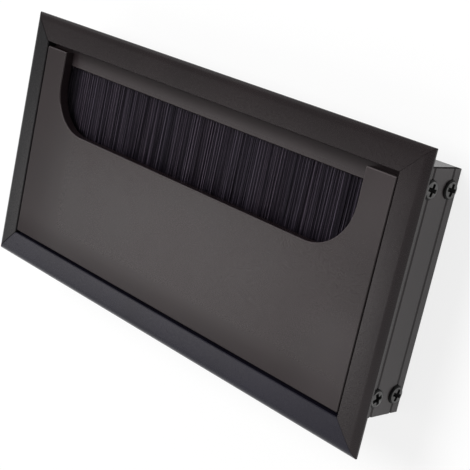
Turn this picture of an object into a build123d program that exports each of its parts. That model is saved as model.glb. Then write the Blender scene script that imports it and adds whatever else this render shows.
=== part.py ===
"""Rectangular desk cable grommet with a flap lid and a brush, in millimetres.

X runs along the long side, +Y points to the brush side and +Z out of the desk.
The desk's top face is Z = 0 and the origin is the centre of the cut-out.
"""

import os
from math import asin, cos, degrees, hypot, radians, sin, sqrt

from build123d import *

os.makedirs("parts", exist_ok=True)

# Bezel
bezel_length = 160.0
bezel_width = 80.0
bezel_border = 8.0
bezel_height = 1.7
bezel_fall = 0.08
bezel_bow = 0.02
bezel_roll = 2.2
bezel_rim = 0.5
bezel_edge = 0.25

# Frame walls, and the hairline left where two rails meet
wall = 1.4
joint_gap = 0.06

# Lid
lid_thickness = 3.0
lid_drop = 0.15
lid_side_gap = 0.4
lid_free_gap = 1.4
lid_edge = 0.25
tab_width = 9.6
slot_reach = 23.8
slot_corner = 14.0

# Hinge: a bead on the long rail, in a round groove under the lid's edge
hinge_open = 100.0
hinge_bead_radius = 1.3
hinge_clearance = 0.1
hinge_lip = 0.75
hinge_back = 0.85
hinge_edge_round = 0.5
hinge_swing_clearance = 0.175
hinge_neck = 0.7
hinge_neck_slack = 5.0
hinge_arm = 1.1

# Ledge under the lid's tabs, and the brush channel below it
ledge_reach = 5.55
ledge_thickness = 1.2
channel_height = 4.4
channel_lip = 0.8
channel_lip_width = 1.0
channel_floor = 1.0

# Screws, and the ports that they run in
screw_inset = 5.45
screw_spacing = 8.3
screw_foot = 2.9
screw_shank_radius = 1.2
screw_shank_length = 9.0
screw_point = 1.6
screw_head_radius = 2.6
screw_head_height = 0.8
screw_head_edge = 0.35
recess_span = 3.6
recess_width = 0.9
recess_depth = 0.6
recess_turn = 45.0
port_clearance = 0.05
port_wall = 1.0
port_slit = 1.2
port_drop = 0.5
hole_clearance = 0.3
groove_width = 0.9
groove_depth = 0.4

# Brush
holder_clearance = 0.12
holder_sheet = 0.6
bristle_clearance = 0.05
bristle_mouth_gap = 0.3
bristle_end_gap = 1.5
bristle_overlap = 3.2
root_depth = 1.2
tuft_count = 117
tuft_gap = 0.18
tuft_corner = 0.3
tip_step_count = 3
tuft_stagger = 0.5

# Opening, walls and the long rails' square-cut ends
open_x = bezel_length / 2 - bezel_border
open_y = bezel_width / 2 - bezel_border
outer_x = open_x + wall
outer_y = open_y + wall
rail_end = open_x - joint_gap
mitre_gap = joint_gap / sqrt(2)

# Heights, from the lid down to the lower edge of the frame
lid_top = bezel_height - lid_drop
lid_under = lid_top - lid_thickness
channel_top = lid_under - ledge_thickness
channel_bottom = channel_top - channel_height
port_radius = screw_shank_radius + port_clearance
port_outer = port_radius + port_wall
upper_screw = channel_bottom - channel_floor - port_drop - port_outer
lower_screw = upper_screw - screw_spacing
screw_heights = [upper_screw, lower_screw]
bottom = lower_screw - screw_foot
screw_y = outer_y - screw_inset

# Hinge axis, inside the lid's thickness and close to its edge
hinge_bore = hinge_bead_radius + hinge_clearance
hinge_reach = hinge_bore + hinge_back
hinge_z = lid_under + hinge_lip
lid_above_hinge = lid_top - hinge_z
swing = hypot(hinge_reach - hinge_edge_round, lid_above_hinge - hinge_edge_round) + hinge_edge_round
hinge_gap = swing + hinge_swing_clearance - hinge_reach
lid_back = -open_y + hinge_gap
hinge_y = lid_back + hinge_reach

# The neck under the bead clears the groove's lip when shut and the lid's back edge when open
neck_half_angle = degrees(asin(hinge_neck / 2 / hinge_bore))
lip_angle = degrees(asin(hinge_lip / hinge_bore))
neck_angle = lip_angle + neck_half_angle + hinge_neck_slack
back_angle = 180 - hinge_open - neck_angle - neck_half_angle - hinge_neck_slack
back_foot = hinge_z - hinge_bore * sin(radians(back_angle))
arm_top = hinge_z - swing - hinge_swing_clearance

# Lid outline
lid_x = open_x - lid_side_gap
lid_front = open_y - lid_free_gap
slot_x = lid_x - tab_width
slot_y = lid_front - slot_reach

# Brush, between the channel's back and the tips under the lid
brush_z = (channel_top + channel_bottom) / 2
brush_x = open_x - bristle_end_gap
holder_half = channel_height / 2 - holder_clearance
holder_back = open_y - holder_clearance
holder_front = open_y - ledge_reach + channel_lip_width + holder_clearance
root_half = holder_half - holder_sheet - bristle_clearance
root_back = holder_back - holder_sheet - bristle_clearance
tuft_root = root_back - root_depth / 2
tuft_tip = slot_y - bristle_overlap
tuft_thickness = channel_height - 2 * channel_lip - 2 * bristle_mouth_gap
tuft_pitch = 2 * brush_x / tuft_count
tuft_width = tuft_pitch - tuft_gap
tuft_half = (tuft_width / 2, tuft_thickness / 2)
tuft_outline = [
    (tuft_half[0], tuft_half[1] - tuft_corner),
    (tuft_half[0] - tuft_corner, tuft_half[1]),
    (tuft_corner - tuft_half[0], tuft_half[1]),
    (-tuft_half[0], tuft_half[1] - tuft_corner),
    (-tuft_half[0], tuft_corner - tuft_half[1]),
    (tuft_corner - tuft_half[0], -tuft_half[1]),
    (tuft_half[0] - tuft_corner, -tuft_half[1]),
    (tuft_half[0], tuft_corner - tuft_half[1]),
]

# Section planes of the four rails: local X points outward from the opening's edge, local Y up
brush_side = Plane(origin=(0, open_y, 0), x_dir=(0, 1, 0), z_dir=(1, 0, 0))
hinge_side = Plane(origin=(0, -open_y, 0), x_dir=(0, -1, 0), z_dir=(-1, 0, 0))
left_end = Plane(origin=(-open_x, 0, 0), x_dir=(-1, 0, 0), z_dir=(0, 1, 0))
right_end = Plane(origin=(open_x, 0, 0), x_dir=(1, 0, 0), z_dir=(0, -1, 0))


def mitred_plan(half_length, inner, width):
    """Plan of a strip with mitred ends, as points along the strip and outward."""
    short = half_length - mitre_gap
    long = short + width
    outer = inner + width
    return [(-short, inner), (short, inner), (long, outer), (-long, outer)]


# Section of the bezel strip: a low crown that rolls off to a thin outer rim
with BuildSketch() as bezel_section:
    shoulder = (bezel_border - bezel_roll, bezel_height - bezel_fall)
    rim = (bezel_border, bezel_rim)
    with BuildLine():
        Polyline(
            rim,
            (bezel_border, 0),
            (0, 0),
            (0, bezel_height - bezel_edge),
            (bezel_edge, bezel_height),
        )
        crown = SagittaArc((bezel_edge, bezel_height), shoulder, bezel_bow)
        TangentArc(shoulder, rim, tangent=crown % 1)
    make_face()

# Section of a long rail's wall with its two open screw ports
with BuildSketch() as wall_section:
    with Locations((wall / 2, bottom / 2)):
        Rectangle(wall, -bottom)
    for height in screw_heights:
        with Locations((wall - screw_inset, height)):
            Circle(port_outer)
        with Locations(((wall - screw_inset) / 2, height)):
            Rectangle(screw_inset - wall, port_wall)
    for height in screw_heights:
        with Locations((wall - screw_inset, height)):
            Circle(port_radius, mode=Mode.SUBTRACT)
        with Locations((wall - screw_inset - port_outer, height)):
            Rectangle(2 * port_outer, port_slit, mode=Mode.SUBTRACT)

# Long rail on the brush side, with the lid's ledge and the brush channel
with BuildPart() as brush_side_rail:
    with BuildSketch(brush_side):
        add(bezel_section.sketch)
    extrude(amount=bezel_length / 2, both=True)
    with BuildSketch(Plane.XY):
        Polygon(*mitred_plan(open_x, open_y, bezel_border), align=None)
    extrude(amount=bezel_height, mode=Mode.INTERSECT)
    with BuildSketch(brush_side):
        add(wall_section.sketch)
        with BuildLine():
            Polyline(
                (0, lid_under),
                (lid_edge - ledge_reach, lid_under),
                (-ledge_reach, lid_under - lid_edge),
                (-ledge_reach, channel_top - channel_lip),
                (channel_lip_width - ledge_reach, channel_top - channel_lip),
                (channel_lip_width - ledge_reach, channel_top),
                (0, channel_top),
                close=True,
            )
        make_face()
        with BuildLine():
            Polyline(
                (0, channel_bottom),
                (channel_lip_width - ledge_reach, channel_bottom),
                (channel_lip_width - ledge_reach, channel_bottom + channel_lip),
                (-ledge_reach, channel_bottom + channel_lip),
                (-ledge_reach, channel_bottom - channel_floor),
                (0, channel_bottom - channel_floor),
                close=True,
            )
        make_face()
    extrude(amount=rail_end, both=True)
brush_side_rail.part.label = "brush_side_rail"
export_step(brush_side_rail.part, "parts/brush_side_rail.step")

# Long rail on the hinge side, with the hinge bead on a bent arm
with BuildPart() as hinge_side_rail:
    with BuildSketch(hinge_side):
        add(bezel_section.sketch)
    extrude(amount=bezel_length / 2, both=True)
    with BuildSketch(Plane.XY):
        Polygon(*[(x, -y) for x, y in mitred_plan(open_x, open_y, bezel_border)], align=None)
    extrude(amount=bezel_height, mode=Mode.INTERSECT)
    with BuildSketch(hinge_side):
        add(wall_section.sketch)
        bead = Vector(-open_y - hinge_y, hinge_z)
        neck_way = Vector(-cos(radians(neck_angle)), -sin(radians(neck_angle)))
        neck_side = Vector(neck_way.Y, -neck_way.X) * (hinge_neck / 2)
        outside = bead - neck_side
        inside = bead + neck_side
        arm_bend = outside + neck_way * ((outside.Y - arm_top) / -neck_way.Y)
        arm_foot = inside + neck_way * ((inside.Y - arm_top + hinge_arm) / -neck_way.Y)
        with BuildLine():
            Polyline(
                inside,
                arm_foot,
                (0, arm_top - hinge_arm),
                (0, arm_top),
                arm_bend,
                outside,
                close=True,
            )
        make_face()
        with Locations(bead):
            Circle(hinge_bead_radius)
    extrude(amount=rail_end, both=True)
hinge_side_rail.part.label = "hinge_side_rail"
export_step(hinge_side_rail.part, "parts/hinge_side_rail.step")

# Short end rails, with two drill grooves outside and four screw holes
for name, section, side in (("left_end_rail", left_end, -1), ("right_end_rail", right_end, 1)):
    with BuildPart() as end_rail:
        with BuildSketch(section):
            add(bezel_section.sketch)
        extrude(amount=bezel_width / 2, both=True)
        with BuildSketch(Plane.XY):
            Polygon(*[(side * x, y) for y, x in mitred_plan(open_y, open_x, bezel_border)], align=None)
        extrude(amount=bezel_height, mode=Mode.INTERSECT)
        with BuildSketch(Plane.XY):
            Polygon(*[(side * x, y) for y, x in mitred_plan(open_y, open_x, wall)], align=None)
        extrude(amount=-joint_gap)
        with BuildSketch(section):
            with Locations((wall / 2, (bottom - joint_gap) / 2)):
                Rectangle(wall, -bottom - joint_gap)
            for height in screw_heights:
                with BuildLine():
                    Polyline(
                        (wall, height - groove_width / 2),
                        (wall - groove_depth, height),
                        (wall, height + groove_width / 2),
                        close=True,
                    )
                make_face(mode=Mode.SUBTRACT)
        extrude(amount=outer_y, both=True)
        with BuildSketch(Plane.YZ.offset(side * (open_x + wall / 2))):
            for height in screw_heights:
                with Locations((-screw_y, height), (screw_y, height)):
                    Circle(screw_shank_radius + hole_clearance)
        extrude(amount=wall, both=True, mode=Mode.SUBTRACT)
    end_rail.part.label = name
    export_step(end_rail.part, f"parts/{name}.step")

# Lid: a flap with a round groove under its hinge edge and a slot open to its free edge
with BuildPart() as lid:
    with BuildSketch(Plane.YZ):
        with BuildLine():
            Polyline(
                (lid_back + hinge_edge_round, lid_top),
                (lid_front, lid_top),
                (lid_front, lid_under),
                (hinge_y, lid_under),
                (hinge_y, back_foot),
                (lid_back, back_foot),
                (lid_back, lid_top - hinge_edge_round),
            )
            RadiusArc(
                (lid_back, lid_top - hinge_edge_round),
                (lid_back + hinge_edge_round, lid_top),
                hinge_edge_round,
            )
        make_face()
        with Locations((hinge_y, hinge_z)):
            Circle(hinge_bore, mode=Mode.SUBTRACT)
    extrude(amount=lid_x, both=True)
    with BuildSketch(Plane.XY.offset(lid_top)):
        with BuildLine():
            FilletPolyline(
                (-slot_x, lid_front),
                (-slot_x, slot_y),
                (slot_x, slot_y),
                (slot_x, lid_front),
                radius=slot_corner,
            )
            Line((slot_x, lid_front), (-slot_x, lid_front))
        make_face()
    extrude(amount=-lid_thickness, mode=Mode.SUBTRACT)
    top_edges = lid.faces().sort_by(Axis.Z)[-1].edges()
    chamfer(top_edges.filter_by_position(Axis.Y, hinge_y, open_y), length=lid_edge)
lid.part.label = "lid"
export_step(lid.part, "parts/lid.step")

# Brush holder: a folded channel, open towards the slot
with BuildPart() as brush_holder:
    with BuildSketch(Plane.YZ):
        with Locations((holder_back, brush_z)):
            Rectangle(holder_back - holder_front, 2 * holder_half, align=(Align.MAX, Align.CENTER))
        with Locations((holder_back - holder_sheet, brush_z)):
            Rectangle(
                holder_back - holder_front,
                2 * (holder_half - holder_sheet),
                align=(Align.MAX, Align.CENTER),
                mode=Mode.SUBTRACT,
            )
    extrude(amount=brush_x, both=True)
brush_holder.part.label = "brush_holder"
export_step(brush_holder.part, "parts/brush_holder.step")

# Bristles: a clamped root and a row of tufts with uneven tips
with BuildPart() as brush_bristles:
    with BuildSketch(Plane.YZ):
        with Locations((root_back, brush_z)):
            Rectangle(root_depth, 2 * root_half, align=(Align.MAX, Align.CENTER))
    extrude(amount=brush_x, both=True)
    for shorter in range(tip_step_count):
        with BuildSketch(Plane.XZ.offset(-tuft_root)):
            for k in range(tuft_count):
                if (k * k + k // tip_step_count) % tip_step_count == shorter:
                    with Locations((-brush_x + (k + 0.5) * tuft_pitch, brush_z)):
                        Polygon(*tuft_outline, align=None)
        extrude(amount=tuft_root - tuft_tip - shorter * tuft_stagger)
brush_bristles.part.label = "brush_bristles"
export_step(brush_bristles.part, "parts/brush_bristles.step")

# End screws: eight low pan heads with a cross recess, four in from each end
with BuildPart() as end_screws:
    for side in (-1, 1):
        for y in (-screw_y, screw_y):
            for height in screw_heights:
                axis_section = Plane(origin=(side * outer_x, y, height), x_dir=(side, 0, 0), z_dir=(0, 0, 1))
                with BuildSketch(axis_section):
                    with BuildLine():
                        Polyline(
                            (screw_head_height, 0),
                            (-screw_shank_length, 0),
                            (screw_point - screw_shank_length, screw_shank_radius),
                            (0, screw_shank_radius),
                            (0, screw_head_radius),
                            (screw_head_height - screw_head_edge, screw_head_radius),
                            (screw_head_height, screw_head_radius - screw_head_edge),
                            close=True,
                        )
                    make_face()
                revolve(axis=Axis(axis_section.origin, axis_section.x_dir))
                head_top = Plane(
                    origin=(side * (outer_x + screw_head_height), y, height),
                    x_dir=(0, 1, 0),
                    z_dir=(side, 0, 0),
                )
                with BuildSketch(head_top):
                    Rectangle(recess_span, recess_width, rotation=recess_turn)
                    Rectangle(recess_width, recess_span, rotation=recess_turn)
                extrude(amount=-recess_depth, mode=Mode.SUBTRACT)
end_screws.part.label = "end_screws"
export_step(end_screws.part, "parts/end_screws.step")
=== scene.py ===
"""Finish of a desk cable grommet: black anodised rails and flap lid, a nylon brush and end screws.

Metres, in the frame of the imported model: X along the long side, +Y towards the brush, +Z up.
"""
import math

import bmesh
import bpy
from mathutils import Matrix, Vector


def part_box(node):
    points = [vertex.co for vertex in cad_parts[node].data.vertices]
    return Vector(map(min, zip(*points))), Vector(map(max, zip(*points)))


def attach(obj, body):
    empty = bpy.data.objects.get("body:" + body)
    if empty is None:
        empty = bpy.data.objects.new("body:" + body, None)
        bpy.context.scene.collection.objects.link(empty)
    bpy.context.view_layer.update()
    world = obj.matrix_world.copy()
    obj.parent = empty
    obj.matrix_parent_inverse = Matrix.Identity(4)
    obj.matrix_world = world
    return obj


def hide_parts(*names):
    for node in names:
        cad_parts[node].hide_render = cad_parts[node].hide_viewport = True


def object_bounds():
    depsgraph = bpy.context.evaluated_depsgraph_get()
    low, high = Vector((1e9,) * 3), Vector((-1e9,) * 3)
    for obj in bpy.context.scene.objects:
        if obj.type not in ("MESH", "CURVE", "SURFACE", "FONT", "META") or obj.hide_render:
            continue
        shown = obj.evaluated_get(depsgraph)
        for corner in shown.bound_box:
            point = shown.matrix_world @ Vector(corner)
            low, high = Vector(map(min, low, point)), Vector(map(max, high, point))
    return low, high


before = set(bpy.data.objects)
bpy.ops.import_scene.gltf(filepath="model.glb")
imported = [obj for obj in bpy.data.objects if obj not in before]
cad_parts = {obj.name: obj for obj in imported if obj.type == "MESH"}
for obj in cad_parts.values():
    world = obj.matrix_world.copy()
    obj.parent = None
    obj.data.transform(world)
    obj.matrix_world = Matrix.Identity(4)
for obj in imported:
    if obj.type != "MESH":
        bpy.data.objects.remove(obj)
packed_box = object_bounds()
MM = 0.001
MM_PER_METRE = 1000.0

# Camera, solved from the bezel's four sides in the photograph
CAMERA_PLACE = (0.23317, 0.07869, 0.22730)
CAMERA_TURN_DEG = (-2.478, 44.567, 17.145)
CAMERA_LENS_MM = 90.04
CAMERA_NEAR = 0.01
CAMERA_FAR = 50.0

# Light of the room, where 1 is white, and the stretch of the photograph's upright over which it changes
PHOTO_UP = (0.0, 0.963, 0.270)
ROOM_ABOVE = 0.27
ROOM_BELOW = 0.58
ROOM_CHANGE = (-0.25, 0.12)

# Lamps, which face the object: place, direction of the first size, both sizes, power and colour
WHITE_LIGHT = (1.0, 1.0, 1.0)
OVERHEAD_PLACE = (-0.25, 0.32, 0.86)
OVERHEAD_ALONG = (1.0, 0.0, 0.0)
OVERHEAD_SIZE = (0.6, 0.6)
OVERHEAD_POWER = 6.8
PANEL_PLACE = (-1.32, -0.54, 1.41)
PANEL_ALONG = (0.73, -0.30, 0.62)
PANEL_SIZE = (0.8, 0.3)
PANEL_POWER = 1.5
PANEL_COLOUR = (1.0, 0.955, 0.95)
SIDE_LAMP_PLACE = (-1.05, 1.02, 0.33)
SIDE_LAMP_ALONG = (0.0, 0.0, 1.0)
SIDE_LAMP_SIZE = (0.6, 0.6)
SIDE_LAMP_POWER = 0.4

# White floor: its white levels, and the distances in millimetres over which the far floor turns all white
FLOOR_HALF_SIDE = 6.0
FLOOR_PAPER = 0.92
FLOOR_GLOW = 1.045
FLOOR_SEEN_WHITE = 0.77
FLOOR_MIRRORED_WHITE = 0.565
FLOOR_WHITENING = (120.0, 450.0)

# Half the length and width of the well, up to the frame's walls, in millimetres
WELL_HALF_LENGTH = 72.0
WELL_HALF_WIDTH = 33.0

# Broken edges and saw cuts of the machined pieces
WELD_DISTANCE = 0.002 * MM
FLAT_ANGLE = math.radians(0.05)
SHARP_ANGLE = math.radians(28.0)
EDGE_BREAK = 0.07 * MM
EDGE_STEPS = 2
MITRE_LINE = 0.4 * MM
SQUARE_CUT_FACING = 0.99
SQUARE_CUT_DEPTH = 1.0 * MM
CHAMFER_RISE = (0.6, 0.8)
CHAMFER_FACING = 0.3

# The axis that a piece was drawn along, and the squeeze that draws a pattern out along it
LENGTH_X = 0
LENGTH_Y = 1
DRAWN_OUT = ((0.02, 1.0, 1.0), (1.0, 0.02, 1.0))

# Dye and gloss of the anodised pieces: the four rails' dyes are lit and shaded copies of one black, painted
# light for the side each rail faces, the hinge rail's blue a painted reflection
BRUSH_RAIL_DYE_AND_LIGHT = (0.0140, 0.0096, 0.0104)
BRUSH_RAIL_GLOSS = 0.44
HINGE_RAIL_DYE_AND_LIGHT = (0.0120, 0.0110, 0.0200)
HINGE_RAIL_GLOSS = 0.41
LEFT_RAIL_DYE_AND_LIGHT = (0.0112, 0.0106, 0.0116)
LEFT_RAIL_GLOSS = 0.35
RIGHT_RAIL_DYE_AND_LIGHT = (0.0165, 0.0115, 0.0125)
RIGHT_RAIL_GLOSS = 0.58
LID_DYE = (0.0172, 0.0110, 0.0118)
LID_GLOSS = 0.5
SATIN_ROUGHNESS = 0.27
SOOT_GLOSS = 0.1

# Rubbing, grime and painted light and shade of the anodised pieces, with the stretches over which they grow
# in millimetres
PALE_WEAR_AND_LIGHT_TONE = (0.109, 0.094, 0.097, 1.0)
# Broken edges turn paler, partly from rubbing and partly as a painted highlight
EDGE_WEAR_AND_HIGHLIGHT = 0.7
# The slot's chamfer turns paler as a painted highlight
SLOT_CHAMFER_HIGHLIGHT = 0.9
# The walls below the bezel turn paler as a painted reflection of the white floor
WALL_PAINTED_REFLECTION = 0.4
LEDGE_Z = (-1.5, 0.0)
# The ledge is painted paler towards its front: painted shade that darkens it towards the bezel's inner wall
LEDGE_PAINTED_LIGHT = 0.37
LEDGE_PAINTED_LIGHT_Y = (30.5, 26.8)
LEDGE_DULL = 0.3
LEDGE_DULL_Y = (27.0, 31.5)
LEFT_MITRE_DIRT = 0.65
LEFT_MITRE_REACH = 0.6
# The right bezel is painted darker towards both its ends, a painted shade
RIGHT_BEZEL_PAINTED_SHADE = 0.24
BRUSH_END_Y = (26.0, 36.0)
HINGE_END_Y = (-24.0, -34.0)
HINGE_END_SHARE = 0.35
# The lid is painted paler at its two right corners, painted light
LID_PAINTED_LIGHT = 0.32
LID_PAINTED_LIGHT_INSETS = (22.0, 3.0)
TAB_PAINTED_LIGHT_Y = (4.0, 24.0)
HINGE_CORNER_PAINTED_LIGHT_Y = (-2.0, -14.0)
HINGE_CORNER_SHARE = 0.6
LID_DULL = 0.15
LEFT_BORDER_INSETS = (24.0, 0.0)
HINGE_BORDER_INSETS = (9.0, -1.0)

# Brush filaments
BRUSH_THICKNESS = 2.2 * MM
FILAMENT_RADIUS = 0.11 * MM
FILAMENT_SIDES = 3
FILAMENT_SPANS = 5
FILAMENT_COLUMNS = 640
FILAMENT_ROWS = 8
FILAMENT_SEED = 7
COLUMN_JITTER = 0.5
ROW_JITTER = 0.4
ROW_STAGGER = 0.25
TIP_SPREAD = 0.9 * MM
CLUMP_LEAN = 0.4 * MM
CLUMP_LIFT = 0.15 * MM
STRAY_LEAN = 0.22 * MM
STRAY_LIFT = 0.12 * MM
LEAN_GAIN = 3.0
LIFT_GAIN = 2.0
LEAN_CURVE = 1.6
LIFT_CURVE = 1.4
CLUMP_WAVES = (("lean", 0.8), ("lift", 1.6), ("cast", 0.12))
CLUMP_WAVE_DETAIL = 2.0
ROW_WAVE_STEP = 0.35
# Every fifth filament is paler, a painted sheen in place of the highlights along the filaments
SHEEN_EVERY = 5.0
NYLON_DARK = (0.0134, 0.0118, 0.0180, 1.0)
NYLON_DARK_VIOLET = (0.0156, 0.0118, 0.0178, 1.0)
NYLON_PALE_AND_SHEEN = (0.108, 0.096, 0.130, 1.0)
NYLON_PALE_AND_SHEEN_VIOLET = (0.130, 0.096, 0.129, 1.0)
NYLON_GLOSS = 0.25

# End screws: self-tapping pan heads with a cross recess, in millimetres
SCREW_COUNT = 8
SCREW_SIDES = 36
SCREW_SEED = 3
HEAD_RADIUS = 2.6
HEAD_HEIGHT = 0.8
HEAD_CORNER = 0.6
HEAD_CORNER_TURNS_DEG = (18, 36, 54, 72, 90)
HEAD_FOOT = 0.05
CROWN_FALL = 0.14
CROWN_FACING = 0.93
CROWN_SHARES = (0.0, 0.35, 0.7, 1.0)
SHANK_RADIUS = 1.2
SHANK_LENGTH = 9.0
POINT_LENGTH = 1.8
POINT_SHARES = (0.25, 0.5, 0.75, 1.0)
THREAD_PITCH = 1.1
THREAD_DEPTH = 0.28
THREAD_RUN_OUT = 0.8
RINGS_PER_TURN = 8
RECESS_SPAN = 3.6
RECESS_WIDTH = 1.1
RECESS_DEPTH = 1.1
RECESS_TAPER = 0.6
STEEL_GLOSS = 0.15

# Kinds of input that a recipe takes
NUMBER = "NodeSocketFloat"
COUNT = "NodeSocketInt"
FINISH = "NodeSocketMaterial"


class Wire:
    """An output socket of a node tree. Arithmetic on it adds the Math nodes that work it out."""

    def __init__(self, sheet, socket):
        self.sheet = sheet
        self.socket = socket

    def math(self, operation, *values):
        return self.sheet.node("ShaderNodeMath", {"operation": operation}, dict(enumerate(values)))

    def __add__(self, other):
        return self.math("ADD", self, other)

    def __radd__(self, other):
        return self.math("ADD", other, self)

    def __sub__(self, other):
        return self.math("SUBTRACT", self, other)

    def __rsub__(self, other):
        return self.math("SUBTRACT", other, self)

    def __mul__(self, other):
        return self.math("MULTIPLY", self, other)

    def __rmul__(self, other):
        return self.math("MULTIPLY", other, self)

    def __truediv__(self, other):
        return self.math("DIVIDE", self, other)

    def __rtruediv__(self, other):
        return self.math("DIVIDE", other, self)

    def __pow__(self, other):
        return self.math("POWER", self, other)

    def __mod__(self, other):
        return self.math("FLOORED_MODULO", self, other)

    def __abs__(self):
        return self.math("ABSOLUTE", self)

    def __gt__(self, other):
        return self.math("GREATER_THAN", self, other)

    def __lt__(self, other):
        return self.math("LESS_THAN", self, other)

    def between(self, low, high):
        """0 at low, 1 at high and a smooth step from one to the other."""
        settings = {"interpolation_type": "SMOOTHSTEP"}
        return self.sheet.node("ShaderNodeMapRange", settings, {"Value": self, 1: low, 2: high})


class Sheet:
    """A node tree that is being drawn up, for a finish, the room or Geometry Nodes."""

    def __init__(self, tree):
        self.tree = tree
        tree.nodes.clear()

    def node(self, kind, settings=None, sockets=None, output=0):
        """Adds a node of that type, sets it up, fills or links its sockets and gives one output."""
        made = self.tree.nodes.new(kind)
        for name, value in (settings or {}).items():
            setattr(made, name, value)
        for name, value in (sockets or {}).items():
            if isinstance(value, Wire):
                self.tree.links.new(value.socket, made.inputs[name])
            else:
                made.inputs[name].default_value = value
        return Wire(self, made.outputs[output]) if made.outputs else made

    def vector(self, x, y, z):
        return self.node("ShaderNodeCombineXYZ", {}, {0: x, 1: y, 2: z})

    def split(self, vector):
        """The three parts of a vector."""
        cut = self.node("ShaderNodeSeparateXYZ", {}, {0: vector})
        return [Wire(self, socket) for socket in cut.socket.node.outputs]


class Finish(Sheet):
    """A material's node tree, with the parts that several finishes share."""

    def __init__(self, name):
        self.material = bpy.data.materials.new(name)
        self.material.use_nodes = True
        super().__init__(self.material.node_tree)

    def place_mm(self, stretch=(1.0, 1.0, 1.0)):
        """Place on the piece in millimetres, squeezed along an axis to draw a pattern out."""
        place = self.node("ShaderNodeTexCoord", output="Object")
        scale = tuple(MM_PER_METRE * part for part in stretch)
        return self.node("ShaderNodeMapping", {}, {"Vector": place, "Scale": scale})

    def noise(self, place, scale, detail=2.0, roughness=0.5):
        sockets = {"Vector": place, "Scale": scale, "Detail": detail, "Roughness": roughness}
        return self.node("ShaderNodeTexNoise", {}, sockets)

    def marked(self, name):
        """A number that the mesh carries."""
        return self.node("ShaderNodeAttribute", {"attribute_name": name}, output="Fac")

    def blend(self, share, first, second):
        """A colour between two colours, which are sockets 6 and 7 of a Mix node."""
        return self.node("ShaderNodeMix", {"data_type": "RGBA"}, {0: share, 6: first, 7: second}, output=2)

    def bump(self, height, distance, strength):
        sockets = {"Height": height, "Distance": distance, "Strength": strength}
        return self.node("ShaderNodeBump", {}, sockets)

    def shader(self, **sockets):
        """A Principled shader with those sockets."""
        named = {name.replace("_", " "): value for name, value in sockets.items()}
        return self.node("ShaderNodeBsdfPrincipled", {}, named)

    def mix(self, share, first, second):
        """A shader between two shaders."""
        return self.node("ShaderNodeMixShader", {}, {0: share, 1: first, 2: second})

    def done(self, surface):
        """Ends the tree in that shader."""
        self.node("ShaderNodeOutputMaterial", {}, {"Surface": surface})
        return self.material


def grey(level, warmth=0.0):
    """A near-neutral colour: warmth above 0 leans to brown, below 0 to blue."""
    return (level * (1.0 + warmth), level, level * (1.0 - warmth), 1.0)


def tint(dye, share):
    """A thinner or thicker coat of a dye."""
    return (*(share * part for part in dye), 1.0)


def black_anodise(name, length_axis, dye, gloss, wear_and_light):
    """Satin black anodised aluminium: a clouded dye, a matt grain, lines from the die and dull saw cuts.

    At a place in millimetres, wear says how much paler it is, from rubbing and from painted light, how much
    duller it is, and how much darker it is, from grime and from painted shade.
    """
    finish = Finish(name)
    place = finish.place_mm()
    cloud = finish.noise(place, scale=0.03, detail=3.0)
    grain = finish.noise(place, scale=5.0, detail=3.0, roughness=0.6)
    lines = finish.noise(finish.place_mm(DRAWN_OUT[length_axis]), scale=2.2, detail=3.0, roughness=0.65)
    paling, dull, dirt_and_shade = wear_and_light(*finish.split(place))
    # Paler from rubbing and from painted highlights, painted reflections and painted light
    worn_and_lit = finish.marked("rubbed_edge_and_highlight") + paling
    # Darker and matt on saw cuts and grime, and as painted shade at the right bezel's ends
    sooty_and_shaded = finish.marked("saw_cut") + dirt_and_shade
    coat = finish.blend(cloud.between(0.3, 0.7), tint(dye, 0.85), tint(dye, 1.15))
    colour = finish.blend(worn_and_lit * (0.4 + 0.6 * grain), coat, PALE_WEAR_AND_LIGHT_TONE)
    roughness = SATIN_ROUGHNESS + dull + 0.06 * (cloud - 0.5) + 0.08 * (grain - 0.5) - 0.04 * worn_and_lit
    relief = finish.bump(0.7 * grain + 0.5 * lines, distance=0.012 * MM, strength=0.5)
    satin = finish.shader(Base_Color=colour, Roughness=roughness, Normal=relief, Specular_IOR_Level=gloss)
    soot_and_shade = finish.blend(grain, tint(dye, 0.3), tint(dye, 0.7))
    matt = finish.shader(
        Base_Color=soot_and_shade, Roughness=0.8 + 0.2 * grain, Normal=relief, Specular_IOR_Level=SOOT_GLOSS,
    )
    return finish.done(finish.mix(sooty_and_shaded, satin, matt))


def left_mitre_dirt(x, y, z):
    """Dirt in the bezel's two mitres at the left end, which have opened a hair."""
    corner = packed_box[1] / MM
    off_mitre = abs((corner.x - abs(x)) - (corner.y - abs(y)))
    return LEFT_MITRE_DIRT * off_mitre.between(LEFT_MITRE_REACH, 0.0) * (x < 0.0) * (z > 0.0)


def plain_rail_wear(x, y, z):
    """The hinge rail and the left rail are only dirty in their mitres."""
    return 0.0, 0.0, left_mitre_dirt(x, y, z)


def brush_rail_wear_and_light(x, y, z):
    """The ledge under the tabs is painted paler in front, painted shade towards its inner corner, where it
    is also duller, and the outer wall is painted paler as a painted reflection.
    """
    lowest, highest = LEDGE_Z
    on_ledge = (z > lowest) * (z < highest)
    outer_wall = (z < 0.0) * (y > WELL_HALF_WIDTH)
    # Painted light on the ledge's front and a painted reflection on the outer wall
    paling = LEDGE_PAINTED_LIGHT * on_ledge * y.between(*LEDGE_PAINTED_LIGHT_Y) + WALL_PAINTED_REFLECTION * outer_wall
    return paling, LEDGE_DULL * on_ledge * y.between(*LEDGE_DULL_Y), left_mitre_dirt(x, y, z)


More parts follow.
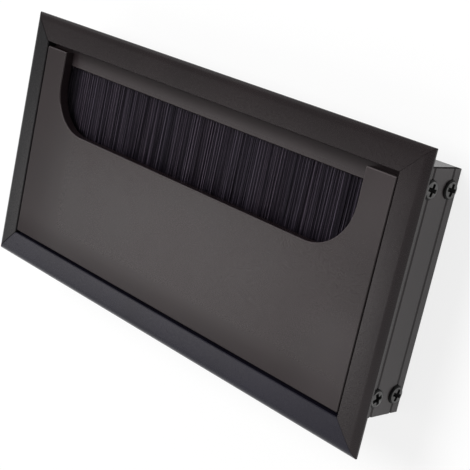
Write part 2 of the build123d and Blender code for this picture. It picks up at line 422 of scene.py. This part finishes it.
def right_rail_painted_light_and_shade(x, y, z):
    """The wall below the bezel is painted paler as a painted reflection, and the bezel is painted darker at
    both of its ends, a painted shade.
    """
    near_ends = y.between(*BRUSH_END_Y) + HINGE_END_SHARE * y.between(*HINGE_END_Y)
    # A painted reflection on the wall below the bezel and painted shade at the bezel's two ends
    return WALL_PAINTED_REFLECTION * (z < 0.0), 0.0, RIGHT_BEZEL_PAINTED_SHADE * (z > 0.0) * near_ends


def lid_painted_light_and_dullness(x, y, z):
    """The lid is duller towards its left end and its hinge, and painted paler at its two right corners,
    painted light.
    """
    low, high = [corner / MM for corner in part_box("lid")]
    near_right = x.between(*(high.x - inset for inset in LID_PAINTED_LIGHT_INSETS))
    corners = y.between(*TAB_PAINTED_LIGHT_Y) + HINGE_CORNER_SHARE * y.between(*HINGE_CORNER_PAINTED_LIGHT_Y)
    left_border = x.between(*(low.x + inset for inset in LEFT_BORDER_INSETS))
    hinge_border = y.between(*(low.y + inset for inset in HINGE_BORDER_INSETS))
    return LID_PAINTED_LIGHT * near_right * corners, LID_DULL * (left_border + hinge_border), 0.0


def rolled_aluminium():
    """Plain aluminium strip with fine lines from the rolls and a dull bloom."""
    finish = Finish("plain aluminium strip")
    lines = finish.noise(finish.place_mm(DRAWN_OUT[LENGTH_X]), scale=3.0, detail=4.0, roughness=0.7)
    bloom = finish.noise(finish.place_mm(), scale=0.4, detail=4.0)
    worn_and_lit = finish.marked("rubbed_edge_and_highlight")
    metal = finish.blend(lines, grey(0.44, warmth=0.01), grey(0.58))
    colour = finish.blend(bloom.between(0.5, 0.75) * 0.4, metal, grey(0.36, warmth=0.02))
    roughness = 0.36 + 0.16 * bloom + 0.1 * lines - 0.08 * worn_and_lit
    relief = finish.bump(lines + 0.3 * bloom, distance=0.01 * MM, strength=0.4)
    return finish.done(finish.shader(Base_Color=colour, Roughness=roughness, Metallic=1.0, Normal=relief))


def black_nylon():
    """Nylon filament: near black, each filament a little lighter or darker, some with a violet cast, every
    fifth one paler as a painted sheen.
    """
    finish = Finish("black nylon filament")
    tone_and_sheen = finish.marked("tone_and_sheen")
    cast = finish.marked("cast")
    along = finish.noise(finish.place_mm((1.0, 0.08, 1.0)), scale=1.5)
    dark = finish.blend(cast, NYLON_DARK, NYLON_DARK_VIOLET)
    pale_and_sheen = finish.blend(cast, NYLON_PALE_AND_SHEEN, NYLON_PALE_AND_SHEEN_VIOLET)
    colour = finish.blend(tone_and_sheen * (0.6 + 0.8 * along), dark, pale_and_sheen)
    roughness = 0.42 + 0.2 * along
    relief = finish.bump(along, distance=0.01 * MM, strength=0.3)
    nylon = finish.shader(
        Base_Color=colour, Roughness=roughness, Normal=relief, Specular_IOR_Level=NYLON_GLOSS,
    )
    return finish.done(nylon)


def blackened_steel():
    """Blackened screw steel, worn to grey on the crown of the head."""
    finish = Finish("blackened screw steel")
    worn = finish.marked("worn")
    blotch = finish.noise(finish.place_mm(), scale=1.1, detail=4.0)
    scratch = finish.noise(finish.place_mm((1.0, 1.0, 0.15)), scale=6.0, detail=3.0)
    paling = worn * (0.45 + 0.9 * (blotch - 0.3))
    colour = finish.blend(paling, grey(0.012), grey(0.21, warmth=0.01))
    roughness = 0.42 - 0.1 * paling + 0.15 * (scratch - 0.5)
    relief = finish.bump(0.6 * scratch + 0.6 * blotch, distance=0.015 * MM, strength=0.5)
    metal = 0.25 + 0.55 * paling
    steel = finish.shader(
        Base_Color=colour, Roughness=roughness, Metallic=metal, Normal=relief,
        Specular_IOR_Level=STEEL_GLOSS,
    )
    return finish.done(steel)


def white_paper():
    """Matt white paper, lifted towards white outside the well where the camera or a shiny face sees it."""
    finish = Finish("white paper")
    matt = finish.node("ShaderNodeBsdfDiffuse", {}, {"Color": grey(FLOOR_PAPER)})
    lit = finish.node("ShaderNodeEmission", {}, {"Strength": FLOOR_GLOW})
    seen = finish.node("ShaderNodeLightPath", output="Is Camera Ray")
    mirrored = finish.node("ShaderNodeLightPath", output="Is Glossy Ray")
    x, y, _ = finish.split(finish.place_mm())
    under = (abs(x) < WELL_HALF_LENGTH) * (abs(y) < WELL_HALF_WIDTH)
    far = ((x * x + y * y) ** 0.5).between(*FLOOR_WHITENING)
    white = FLOOR_SEEN_WHITE + (1.0 - FLOOR_SEEN_WHITE) * far
    share = (white * seen + FLOOR_MIRRORED_WHITE * mirrored) * (1.0 - under)
    upper = finish.mix(share, matt, lit)
    clear = finish.node("ShaderNodeBsdfTransparent")
    from_below = finish.node("ShaderNodeNewGeometry", output="Backfacing")
    return finish.done(finish.mix(from_below, upper, clear))


def new_piece(name, data):
    piece = bpy.data.objects.new(name, data)
    bpy.context.scene.collection.objects.link(piece)
    return piece


def plain_mesh(piece):
    """Works the piece's modifiers into its mesh and leaves none on it."""
    bpy.context.view_layer.update()
    evaluated = piece.evaluated_get(bpy.context.evaluated_depsgraph_get())
    mesh = bpy.data.meshes.new_from_object(evaluated)
    piece.modifiers.clear()
    piece.data = mesh
    return piece


def seat(piece, body, node):
    """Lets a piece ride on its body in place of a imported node."""
    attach(piece, body)
    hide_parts(node)


def joined_mesh(node):
    """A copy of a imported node's mesh, its triangles joined to flat faces and its outer edges weighted."""
    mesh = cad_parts[node].data.copy()
    mesh.materials.clear()
    shape = bmesh.new()
    shape.from_mesh(mesh)
    bmesh.ops.remove_doubles(shape, verts=shape.verts, dist=WELD_DISTANCE)
    bmesh.ops.dissolve_limit(shape, angle_limit=FLAT_ANGLE, verts=shape.verts, edges=shape.edges)
    weight = shape.edges.layers.float.new("bevel_weight_edge")
    for face in shape.faces:
        face.smooth = True
    for edge in shape.edges:
        edge[weight] = 1.0 if edge.is_convex and edge.calc_face_angle(0.0) > SHARP_ANGLE else 0.0
    shape.to_mesh(mesh)
    shape.free()
    return mesh


def crease_inner_corners(mesh):
    """Keeps the shading of two faces apart where they meet in an inner corner."""
    shape = bmesh.new()
    shape.from_mesh(mesh)
    for edge in shape.edges:
        edge.smooth = edge.is_convex or edge.calc_face_angle(0.0) < SHARP_ANGLE
    shape.to_mesh(mesh)
    shape.free()


def mark_faces(mesh, length_axis, chamfer_highlight):
    """Marks the saw cuts at mitres and square ends, the broken edges (material 1), paler partly from
    rubbing and partly as a painted highlight, and a slot's chamfer, paler as a painted highlight.
    """
    worn_and_lit = [0.0] * len(mesh.polygons)
    sawn = [0.0] * len(mesh.polygons)
    corner = packed_box[1]
    near_end = (WELL_HALF_LENGTH, WELL_HALF_WIDTH)[length_axis] * MM - SQUARE_CUT_DEPTH
    lowest, highest = CHAMFER_RISE
    for polygon in mesh.polygons:
        x, y, _ = polygon.center
        off_mitre = abs((corner.x - abs(x)) - (corner.y - abs(y)))
        square = abs(polygon.normal[length_axis]) > SQUARE_CUT_FACING
        if off_mitre < MITRE_LINE or square and abs(polygon.center[length_axis]) > near_end:
            sawn[polygon.index] = 1.0
        elif polygon.material_index == 1:
            worn_and_lit[polygon.index] = EDGE_WEAR_AND_HIGHLIGHT
        # The slot's chamfer turns paler as a painted highlight
        elif lowest < polygon.normal.z < highest and polygon.normal.y > CHAMFER_FACING:
            worn_and_lit[polygon.index] = chamfer_highlight
        polygon.material_index = 0
    for name, marks in (("rubbed_edge_and_highlight", worn_and_lit), ("saw_cut", sawn)):
        mesh.attributes.new(name, "FLOAT", "FACE").data.foreach_set("value", marks)
    mesh.materials.pop(index=1)


def edge_broken(node, name, material, length_axis, chamfer_highlight=0.0):
    """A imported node's shape with every outer edge broken by a small round."""
    mesh = joined_mesh(node)
    mesh.materials.append(material)
    mesh.materials.append(material)
    piece = new_piece(name, mesh)
    rounding = piece.modifiers.new("edge break", "BEVEL")
    rounding.limit_method = "WEIGHT"
    rounding.width = EDGE_BREAK
    rounding.segments = EDGE_STEPS
    rounding.material = 1
    plain_mesh(piece)
    crease_inner_corners(piece.data)
    evening = piece.modifiers.new("flat faces shade flat", "WEIGHTED_NORMAL")
    evening.keep_sharp = True
    plain_mesh(piece)
    mark_faces(piece.data, length_axis, chamfer_highlight)
    return piece


class Recipe(Sheet):
    """A Geometry Nodes tree with named inputs, and the piece that it makes."""

    def __init__(self, name, inputs):
        self.group = bpy.data.node_groups.new(name, "GeometryNodeTree")
        self.group.is_modifier = True
        super().__init__(self.group)
        self.values = {}
        self.group.interface.new_socket("Blank", in_out="INPUT", socket_type="NodeSocketGeometry")
        for label, (kind, value) in inputs.items():
            socket = self.group.interface.new_socket(label, in_out="INPUT", socket_type=kind)
            self.values[socket.identifier] = value
        self.group.interface.new_socket("Geometry", in_out="OUTPUT", socket_type="NodeSocketGeometry")
        given = self.tree.nodes.new("NodeGroupInput")
        self.given = {label: Wire(self, given.outputs[label]) for label in ("Blank", *inputs)}

    def random(self, low, high, seed):
        """A random number, whose limits are sockets 2 and 3 of its node."""
        sockets = {2: low, 3: high, "Seed": seed}
        return self.node("FunctionNodeRandomValue", {"data_type": "FLOAT"}, sockets, output=1)

    def order(self):
        """A point's number, from 0."""
        return self.node("GeometryNodeInputIndex")

    def place(self):
        """The three coordinates of a point."""
        return self.split(self.node("GeometryNodeInputPosition"))

    def moved(self, geometry, **sockets):
        return self.node("GeometryNodeSetPosition", {}, {"Geometry": geometry, **sockets})

    def stored(self, geometry, name, value, domain="POINT"):
        """Writes a number on the mesh, for its finish or a later step to read."""
        settings = {"data_type": "FLOAT", "domain": domain}
        sockets = {"Geometry": geometry, "Name": name, "Value": value}
        return self.node("GeometryNodeStoreNamedAttribute", settings, sockets)

    def named(self, name):
        """A number that was written on the mesh."""
        return self.node("GeometryNodeInputNamedAttribute", {"data_type": "FLOAT"}, {"Name": name})

    def realized(self, geometry):
        return self.node("GeometryNodeRealizeInstances", {}, {"Geometry": geometry})

    def finished(self, geometry, material):
        """Realizes the instances, gives them their finish and ends the tree."""
        solid = self.realized(geometry)
        painted = self.node("GeometryNodeSetMaterial", {}, {"Geometry": solid, "Material": material})
        self.node("NodeGroupOutput", {}, {"Geometry": painted})

    def piece(self, name, blank=None):
        """Runs the recipe once, on a blank if it needs one, and keeps its plain mesh."""
        made = new_piece(name, blank or bpy.data.meshes.new(name))
        modifier = made.modifiers.new(name, "NODES")
        modifier.node_group = self.group
        for identifier, value in self.values.items():
            modifier[identifier] = value
        return plain_mesh(made)


def brush_recipe(material):
    """The brush's tree, with its sizes as inputs."""
    low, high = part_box("brush_bristles")
    return Recipe("filaments of the brush", {
        "Left": (NUMBER, low.x), "Right": (NUMBER, high.x),
        "Root": (NUMBER, high.y), "Tip": (NUMBER, low.y),
        "Middle": (NUMBER, (low.z + high.z) / 2), "Thickness": (NUMBER, BRUSH_THICKNESS),
        "Columns": (COUNT, FILAMENT_COLUMNS), "Rows": (COUNT, FILAMENT_ROWS),
        "Radius": (NUMBER, FILAMENT_RADIUS), "Tip Spread": (NUMBER, TIP_SPREAD),
        "Clump Lean": (NUMBER, CLUMP_LEAN), "Stray Lean": (NUMBER, STRAY_LEAN),
        "Clump Lift": (NUMBER, CLUMP_LIFT), "Stray Lift": (NUMBER, STRAY_LIFT),
        "Seed": (COUNT, FILAMENT_SEED),
        "Finish": (FINISH, material),
    })


def filament_roots(recipe):
    """Points in rows at the filaments' roots, each with its clump's lean, its own stray and how light it
    is, every fifth one paler as a painted sheen.
    """
    given = recipe.given
    seed = given["Seed"]
    order = recipe.order()
    row = order % given["Rows"]
    column = (order - row) / given["Rows"]
    pitch = (given["Right"] - given["Left"] - 2.0 * given["Clump Lean"]) / given["Columns"]
    side = given["Left"] + given["Clump Lean"]
    jitter = recipe.random(-COLUMN_JITTER, COLUMN_JITTER, seed)
    x = side + (column + 0.5 + jitter + ROW_STAGGER * (row % 2.0)) * pitch
    depth = (row + 0.5 + recipe.random(-ROW_JITTER, ROW_JITTER, seed + 1)) / given["Rows"] - 0.5
    z = given["Middle"] + depth * (given["Thickness"] - 2.0 * given["Radius"])
    roots = recipe.node("GeometryNodePoints", {}, {
        "Count": given["Columns"] * given["Rows"], "Position": recipe.vector(x, given["Root"], z),
    })
    clump_place = recipe.vector(column * pitch * MM_PER_METRE, row * ROW_WAVE_STEP, 0.0)
    for name, scale in CLUMP_WAVES:
        wave = recipe.node("ShaderNodeTexNoise", {"noise_dimensions": "3D"}, {
            "Vector": clump_place, "Scale": scale, "Detail": CLUMP_WAVE_DETAIL,
        })
        roots = recipe.stored(roots, name, wave)
    roots = recipe.stored(roots, "stray", recipe.random(-1.0, 1.0, seed + 2))
    roots = recipe.stored(roots, "stray_lift", recipe.random(-1.0, 1.0, seed + 6))
    # Every fifth filament is paler, a painted sheen
    pale_and_sheen = (column + 2.0 * row) % SHEEN_EVERY < 0.5
    shade = recipe.random(0.0, 1.0, seed + 3)
    return recipe.stored(roots, "tone_and_sheen", 0.2 * shade ** 2.0 + pale_and_sheen * (0.4 + 0.6 * shade))


def filament_rod(recipe):
    """A rod of radius 1 and length 1 that runs from the origin towards -Y."""
    rod = recipe.node("GeometryNodeMeshCylinder", {"fill_type": "NGON"}, {
        "Vertices": FILAMENT_SIDES, "Side Segments": FILAMENT_SPANS, "Radius": 1.0, "Depth": 1.0,
    })
    return recipe.node("GeometryNodeTransform", {}, {
        "Geometry": rod, "Rotation": (math.pi / 2, 0.0, 0.0), "Translation": (0.0, -0.5, 0.0),
    })


def bent_filaments(recipe, filaments):
    """Bends the filaments more and more towards their tips, with their clump and each a little astray."""
    given = recipe.given
    _, y, _ = recipe.place()
    out = (given["Root"] - y) / (given["Root"] - given["Tip"])
    sway = (recipe.named("lean") - 0.5) * LEAN_GAIN * given["Clump Lean"]
    sway = sway + recipe.named("stray") * given["Stray Lean"]
    rise = (recipe.named("lift") - 0.5) * LIFT_GAIN * given["Clump Lift"]
    rise = rise + recipe.named("stray_lift") * given["Stray Lift"]
    bend = recipe.vector(sway * out ** LEAN_CURVE, 0.0, rise * out ** LIFT_CURVE)
    return recipe.moved(filaments, Offset=bend)


def brush_filaments(material):
    """The brush as single filaments in rows, leaning together in clumps and cut a little unevenly."""
    recipe = brush_recipe(material)
    given = recipe.given
    seed = given["Seed"]
    roots = filament_roots(recipe)
    length = given["Root"] - given["Tip"] - given["Tip Spread"] * recipe.random(0.0, 1.0, seed + 4) ** 2.0
    spin = recipe.vector(0.0, recipe.random(0.0, math.tau, seed + 5), 0.0)
    grown = recipe.node("GeometryNodeInstanceOnPoints", {}, {
        "Points": roots, "Instance": filament_rod(recipe), "Rotation": spin,
        "Scale": recipe.vector(given["Radius"], length, given["Radius"]),
    })
    grown = bent_filaments(recipe, recipe.realized(grown))
    grown = recipe.node("GeometryNodeSetShadeSmooth", {}, {"Geometry": grown})
    recipe.finished(grown, given["Finish"])
    return recipe.piece("brush_filaments")


def screw_profile():
    """Half a screw in millimetres, as places along the axis and radii, from the crown to the point."""
    flat = HEAD_RADIUS - HEAD_CORNER
    shoulder = HEAD_HEIGHT - CROWN_FALL
    crown = [(HEAD_HEIGHT - CROWN_FALL * share**2, share * flat) for share in CROWN_SHARES]
    turns = [math.radians(turn) for turn in HEAD_CORNER_TURNS_DEG]
    corner = [(shoulder - HEAD_CORNER * (1 - math.cos(a)), flat + HEAD_CORNER * math.sin(a)) for a in turns]
    foot = [(HEAD_FOOT, HEAD_RADIUS), (0.0, HEAD_RADIUS - HEAD_FOOT), (0.0, SHANK_RADIUS)]
    straight = SHANK_LENGTH - POINT_LENGTH
    rings = round(straight / THREAD_PITCH * RINGS_PER_TURN)
    shank = [(-straight * (k + 1) / rings, SHANK_RADIUS) for k in range(rings)]
    point = [(-straight - POINT_LENGTH * share, SHANK_RADIUS * (1 - share)) for share in POINT_SHARES]
    return crown + corner + foot + shank + point


def turned(name, profile):
    """A profile turned round the X axis, with its two ends closed in a point."""
    shape = bmesh.new()
    turns = [math.tau * k / SCREW_SIDES for k in range(SCREW_SIDES)]
    rings = []
    for along, radius in profile[1:-1]:
        rings.append([shape.verts.new((along, radius * math.cos(a), radius * math.sin(a))) for a in turns])
    first = shape.verts.new((profile[0][0], 0.0, 0.0))
    last = shape.verts.new((profile[-1][0], 0.0, 0.0))
    for k in range(SCREW_SIDES):
        after = (k + 1) % SCREW_SIDES
        shape.faces.new((first, rings[0][k], rings[0][after]))
        shape.faces.new((last, rings[-1][after], rings[-1][k]))
        for upper, lower in zip(rings, rings[1:]):
            shape.faces.new((upper[k], lower[k], lower[after], upper[after]))
    bmesh.ops.recalc_face_normals(shape, faces=shape.faces)
    mesh = bpy.data.meshes.new(name)
    shape.to_mesh(mesh)
    shape.free()
    return mesh


def screw_recipe(material):
    """The end screws' tree in millimetres, with its sizes as inputs."""
    low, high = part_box("end_screws")
    return Recipe("end screws", {
        "Seat": (NUMBER, high.x / MM - HEAD_HEIGHT), "Axis Y": (NUMBER, high.y / MM - HEAD_RADIUS),
        "Lower Z": (NUMBER, low.z / MM + HEAD_RADIUS), "Upper Z": (NUMBER, high.z / MM - HEAD_RADIUS),
        "Recess Span": (NUMBER, RECESS_SPAN), "Recess Width": (NUMBER, RECESS_WIDTH),
        "Recess Depth": (NUMBER, RECESS_DEPTH), "Recess Taper": (NUMBER, RECESS_TAPER),
        "Thread Pitch": (NUMBER, THREAD_PITCH), "Thread Depth": (NUMBER, THREAD_DEPTH),
        "Seed": (COUNT, SCREW_SEED),
        "Finish": (FINISH, material),
    })


def cut_thread(recipe, blank):
    """Sinks a helical valley between the thread's crests, fading out under the head and at the point."""
    given = recipe.given
    x, y, z = recipe.place()
    turn = y.math("ARCTAN2", z, y) / math.tau
    wave = abs((x / given["Thread Pitch"] + turn) % 1.0 - 0.5)
    radius = (y * y + z * z) ** 0.5
    fade = (0.0 - x).between(0.0, THREAD_RUN_OUT) * (x + SHANK_LENGTH).between(0.0, POINT_LENGTH)
    keep = 1.0 - fade * wave * 2.0 * given["Thread Depth"] / radius
    return recipe.moved(blank, Position=recipe.vector(x, y * keep, z * keep))


def cut_recess(recipe, screw):
    """Cuts a cross that narrows towards its floor into the crown of the head."""
    given = recipe.given
    span = given["Recess Span"]
    width = given["Recess Width"]
    depth = given["Recess Depth"]
    for wing_y, wing_z in ((span, width), (width, span)):
        wing = recipe.node("GeometryNodeMeshCube", {}, {"Size": recipe.vector(depth * 2.0, wing_y, wing_z)})
        x, y, z = recipe.place()
        narrow = 1.0 + given["Recess Taper"] * x / depth
        wing = recipe.moved(wing, Position=recipe.vector(x + HEAD_HEIGHT, y * narrow, z * narrow))
        settings = {"operation": "DIFFERENCE", "solver": "EXACT"}
        screw = recipe.node("GeometryNodeMeshBoolean", settings, {"Mesh 1": screw, "Mesh 2": wing})
    return screw


def shaded_screw(recipe, screw):
    """Marks the crown as worn and shades the screw smooth between its sharp edges."""
    x = recipe.place()[0]
    facing = recipe.split(recipe.node("GeometryNodeInputNormal"))[0]
    crown = (facing > CROWN_FACING) * (x > HEAD_HEIGHT - 2.0 * CROWN_FALL)
    screw = recipe.stored(screw, "worn", crown, "FACE")
    screw = recipe.node("GeometryNodeSetShadeSmooth", {}, {"Geometry": screw})
    sharp = recipe.node("GeometryNodeInputMeshEdgeAngle") > SHARP_ANGLE
    return recipe.node("GeometryNodeSetShadeSmooth", {"domain": "EDGE"}, {
        "Geometry": screw, "Selection": sharp, "Shade Smooth": False,
    })


def end_screws(material):
    """Eight pan-head screws with a cross recess and a cut thread, four in from each end."""
    recipe = screw_recipe(material)
    given = recipe.given
    screw = shaded_screw(recipe, cut_recess(recipe, cut_thread(recipe, given["Blank"])))
    order = recipe.order()
    end = order % 2.0
    side = (order - end) / 2.0 % 2.0
    upper = order > SCREW_COUNT / 2 - 0.5
    height = given["Lower Z"] + upper * (given["Upper Z"] - given["Lower Z"])
    place = recipe.vector(given["Seat"] * (1.0 - 2.0 * end), given["Axis Y"] * (1.0 - 2.0 * side), height)
    seats = recipe.node("GeometryNodePoints", {}, {"Count": SCREW_COUNT, "Position": place})
    turn = recipe.vector(recipe.random(0.0, math.pi / 2, given["Seed"]), 0.0, end * math.pi)
    driven = recipe.node("GeometryNodeInstanceOnPoints", {}, {
        "Points": seats, "Instance": screw, "Rotation": turn,
    })
    driven = recipe.node("GeometryNodeTransform", {}, {
        "Geometry": recipe.realized(driven), "Scale": (MM, MM, MM),
    })
    recipe.finished(driven, given["Finish"])
    return recipe.piece("pan_head_screws", turned("screw blank", screw_profile()))


def white_floor():
    """A wide white floor at the foot of the frame."""
    side = FLOOR_HALF_SIDE
    foot = packed_box[0].z
    corners = [(-side, -side, foot), (side, -side, foot), (side, side, foot), (-side, side, foot)]
    mesh = bpy.data.meshes.new("floor")
    mesh.from_pydata(corners, [], [(0, 1, 2, 3)])
    mesh.materials.append(white_paper())
    new_piece("floor", mesh)


def white_room():
    """A room that is darker above the photograph's horizon than below it, and white to the camera."""
    world = bpy.data.worlds.new("white room")
    bpy.context.scene.world = world
    world.use_nodes = True
    air = Sheet(world.node_tree)
    way = air.node("ShaderNodeTexCoord", output="Generated")
    along_up = {"operation": "DOT_PRODUCT"}
    height = air.node("ShaderNodeVectorMath", along_up, {0: way, 1: PHOTO_UP}, output="Value")
    room = ROOM_BELOW + (ROOM_ABOVE - ROOM_BELOW) * height.between(*ROOM_CHANGE)
    seen = air.node("ShaderNodeLightPath", output="Is Camera Ray")
    sockets = {"Color": grey(1.0), "Strength": room + (1.0 - room) * seen}
    light = air.node("ShaderNodeBackground", {}, sockets)
    air.node("ShaderNodeOutputWorld", {}, {"Surface": light})


def soft_lamp(name, place, along, size, power, colour=WHITE_LIGHT):
    """An oval lamp that faces the object, with its first size along the given direction."""
    lamp = bpy.data.lights.new(name, "AREA")
    lamp.shape = "ELLIPSE"
    lamp.size, lamp.size_y = size
    lamp.energy = power
    lamp.color = colour
    stand = new_piece(name, lamp)
    back = Vector(place).normalized()
    across = back.cross(Vector(along)).normalized()
    stand.matrix_world = Matrix((across.cross(back), across, back)).transposed().to_4x4()
    stand.location = place
    return stand


def soft_lamps():
    """A lamp overhead that shiny faces don't show, a low panel that the lid mirrors, a weak side lamp."""
    overhead = soft_lamp(
        "soft lamp overhead", OVERHEAD_PLACE, OVERHEAD_ALONG, OVERHEAD_SIZE, OVERHEAD_POWER,
    )
    overhead.visible_glossy = False
    soft_lamp(
        "low soft panel at the left", PANEL_PLACE, PANEL_ALONG, PANEL_SIZE, PANEL_POWER, PANEL_COLOUR,
    )
    soft_lamp("side lamp", SIDE_LAMP_PLACE, SIDE_LAMP_ALONG, SIDE_LAMP_SIZE, SIDE_LAMP_POWER)


def photo_camera():
    """The camera at the photograph's place and turn."""
    lens = bpy.data.cameras.new("photo camera")
    lens.lens = CAMERA_LENS_MM
    lens.clip_start = CAMERA_NEAR
    lens.clip_end = CAMERA_FAR
    stand = new_piece("photo camera", lens)
    stand.location = CAMERA_PLACE
    stand.rotation_euler = [math.radians(turn) for turn in CAMERA_TURN_DEG]
    bpy.context.scene.camera = stand


for node, name, length_axis, dye, gloss, wear_and_light in (
    ("brush_side_rail", "rail_brush_side", LENGTH_X, BRUSH_RAIL_DYE_AND_LIGHT, BRUSH_RAIL_GLOSS, brush_rail_wear_and_light),
    ("hinge_side_rail", "rail_hinge_side", LENGTH_X, HINGE_RAIL_DYE_AND_LIGHT, HINGE_RAIL_GLOSS, plain_rail_wear),
    ("left_end_rail", "rail_left_end", LENGTH_Y, LEFT_RAIL_DYE_AND_LIGHT, LEFT_RAIL_GLOSS, plain_rail_wear),
    ("right_end_rail", "rail_right_end", LENGTH_Y, RIGHT_RAIL_DYE_AND_LIGHT, RIGHT_RAIL_GLOSS, right_rail_painted_light_and_shade),
):
    rail_finish = black_anodise("black anodised " + name.replace("_", " "), length_axis, dye, gloss, wear_and_light)
    seat(edge_broken(node, name, rail_finish, length_axis), "frame", node)
lid_finish = black_anodise("black anodised lid", LENGTH_X, LID_DYE, LID_GLOSS, lid_painted_light_and_dullness)
seat(edge_broken("lid", "flap_lid", lid_finish, LENGTH_X, SLOT_CHAMFER_HIGHLIGHT), "lid", "lid")
brush_strip = edge_broken("brush_holder", "brush_strip", rolled_aluminium(), LENGTH_X)
seat(brush_strip, "frame", "brush_holder")
seat(brush_filaments(black_nylon()), "frame", "brush_bristles")
seat(end_screws(blackened_steel()), "frame", "end_screws")

white_floor()
white_room()
soft_lamps()
photo_camera()
bpy.context.scene.view_settings.view_transform = "Standard"
